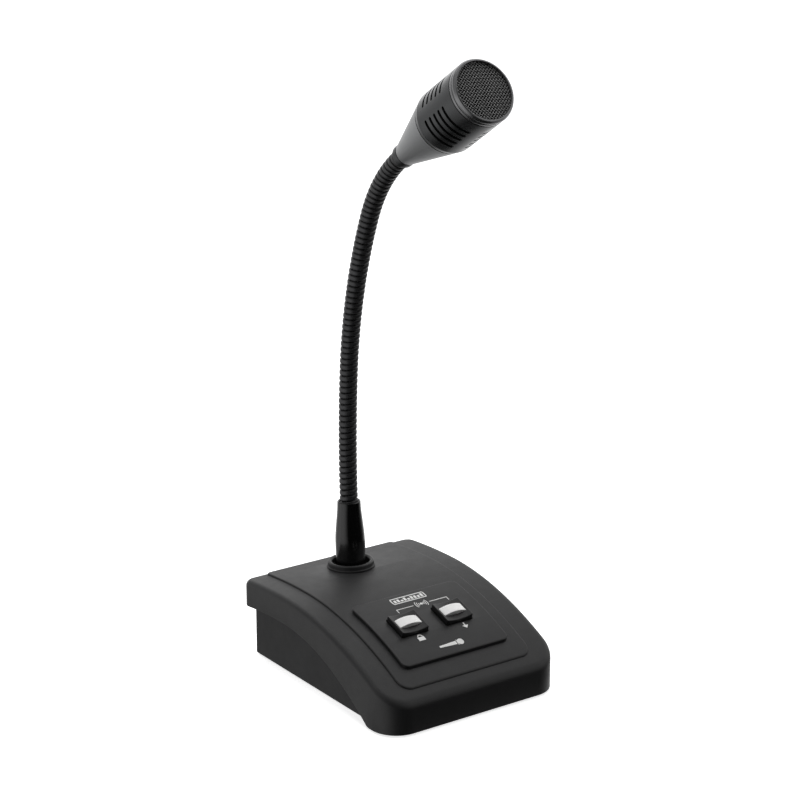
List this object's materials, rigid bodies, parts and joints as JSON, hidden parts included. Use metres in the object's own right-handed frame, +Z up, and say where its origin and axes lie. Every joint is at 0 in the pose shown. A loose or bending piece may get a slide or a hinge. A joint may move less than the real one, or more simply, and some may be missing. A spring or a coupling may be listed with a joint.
{
  "type": "desk gooseneck microphone with talk keys",
  "caption": "Desk paging microphone: a weighted arched base with lock and push keys, and a bendable gooseneck that carries a slotted cylindrical head.",
  "frame": {"origin": "middle of the whole microphone's footprint, on the desk under the feet", "axes": "+Z up, front (the keys and the head) towards -Y, +X to the right as seen from the back"},
  "size_m": [0.12, 0.16, 0.3657],
  "materials": {
    "black_abs": "satin",
    "panel_satin": "satin",
    "key_black": "satin",
    "key_white": "satin",
    "gloss_black": "gloss",
    "neck_black": "satin",
    "head_satin": "satin",
    "mesh_steel": "satin",
    "steel": "satin",
    "capsule_can": "satin",
    "brass": "satin",
    "rubber": "matte",
    "foam": "matte",
    "board_green": "satin",
    "winding_copper": "satin"
  },
  "bodies": {
    "base": {"top_cover": "black_abs", "lower_housing": "black_abs", "base_plate": "steel", "ballast_weight": "steel", "control_panel": "panel_satin", "lock_switch": "gloss_black", "push_switch": "gloss_black", "switch_board": "board_green", "board_screw_1": "steel", "board_screw_2": "steel", "collar_ring": "black_abs", "gooseneck_boot": "gloss_black", "neck_base_tube": "steel", "neck_bracket": "steel", "neck_washer": "steel", "neck_lock_nut": "brass", "bracket_screw_1": "steel", "bracket_screw_2": "steel", "transformer_core": "steel", "transformer_winding": "winding_copper", "terminal_block": "gloss_black", "cable_grommet": "rubber", "neck_lead": "rubber", "rubber_foot_1": "rubber", "rubber_foot_2": "rubber", "rubber_foot_3": "rubber", "rubber_foot_4": "rubber", "base_screw_1": "steel", "base_screw_2": "steel", "base_screw_3": "steel", "base_screw_4": "steel"},
    "lock_key_body": {"lock_key": "key_black", "lock_key_cap": "key_white"},
    "push_key_body": {"push_key": "key_black", "push_key_cap": "key_white"},
    "neck_1": {"gooseneck_segment_1": "neck_black"},
    "neck_2": {"gooseneck_segment_2": "neck_black"},
    "neck_3": {"gooseneck_segment_3": "neck_black"},
    "neck_4": {"gooseneck_segment_4": "neck_black"},
    "neck_5": {"gooseneck_segment_5": "neck_black"},
    "neck_6": {"gooseneck_segment_6": "neck_black"},
    "neck_7": {"gooseneck_segment_7": "neck_black"},
    "neck_8_and_head": {"gooseneck_segment_8": "neck_black", "neck_ferrule": "neck_black", "head_cone": "head_satin", "head_body": "head_satin", "front_ring": "head_satin", "mesh_grille": "mesh_steel", "foam_disc": "foam", "slot_liner": "foam", "capsule": "capsule_can", "capsule_holder": "rubber"}
  },
  "joints": [
    {"name": "neck_bend_1", "type": "hinge", "parent": "base", "child": "neck_1", "pos_m": [0, 0.05661, 0.09188], "axis": [1, 0, 0], "range_deg": [-22.5, 22.5]},
    {"name": "neck_bend_2", "type": "hinge", "parent": "neck_1", "child": "neck_2", "pos_m": [0, 0.05728, 0.12036], "axis": [0, 1, -0.0036], "range_deg": [-22.5, 22.5]},
    {"name": "neck_bend_3", "type": "hinge", "parent": "neck_2", "child": "neck_3", "pos_m": [0, 0.05682, 0.14885], "axis": [1, 0, 0], "range_deg": [-22.5, 22.5]},
    {"name": "neck_bend_4", "type": "hinge", "parent": "neck_3", "child": "neck_4", "pos_m": [0, 0.05514, 0.17729], "axis": [0, 0.9957, 0.0924], "range_deg": [-22.5, 22.5]},
    {"name": "neck_bend_5", "type": "hinge", "parent": "neck_4", "child": "neck_5", "pos_m": [0, 0.0512, 0.2055], "axis": [1, 0, 0], "range_deg": [-22.5, 22.5]},
    {"name": "neck_bend_6", "type": "hinge", "parent": "neck_5", "child": "neck_6", "pos_m": [0, 0.04467, 0.23323], "axis": [0, 0.9618, 0.2739], "range_deg": [-22.5, 22.5]},
    {"name": "neck_bend_7", "type": "hinge", "parent": "neck_6", "child": "neck_7", "pos_m": [0, 0.03561, 0.26023], "axis": [1, 0, 0], "range_deg": [-22.5, 22.5]},
    {"name": "neck_bend_8", "type": "hinge", "parent": "neck_7", "child": "neck_8_and_head", "pos_m": [0, 0.02205, 0.28516], "axis": [0, 0.7894, 0.6139], "range_deg": [-22.5, 22.5]},
    {"name": "lock_key_press", "type": "slide", "parent": "base", "child": "lock_key_body", "axis": [0, 0.3113, -0.9503], "range_m": [0, 0.0025], "stiffness_N_per_m": 200, "springref_m": -0.004},
    {"name": "push_key_press", "type": "slide", "parent": "base", "child": "push_key_body", "axis": [0, 0.3113, -0.9503], "range_m": [0, 0.0025], "stiffness_N_per_m": 200, "springref_m": -0.004}
  ]
}
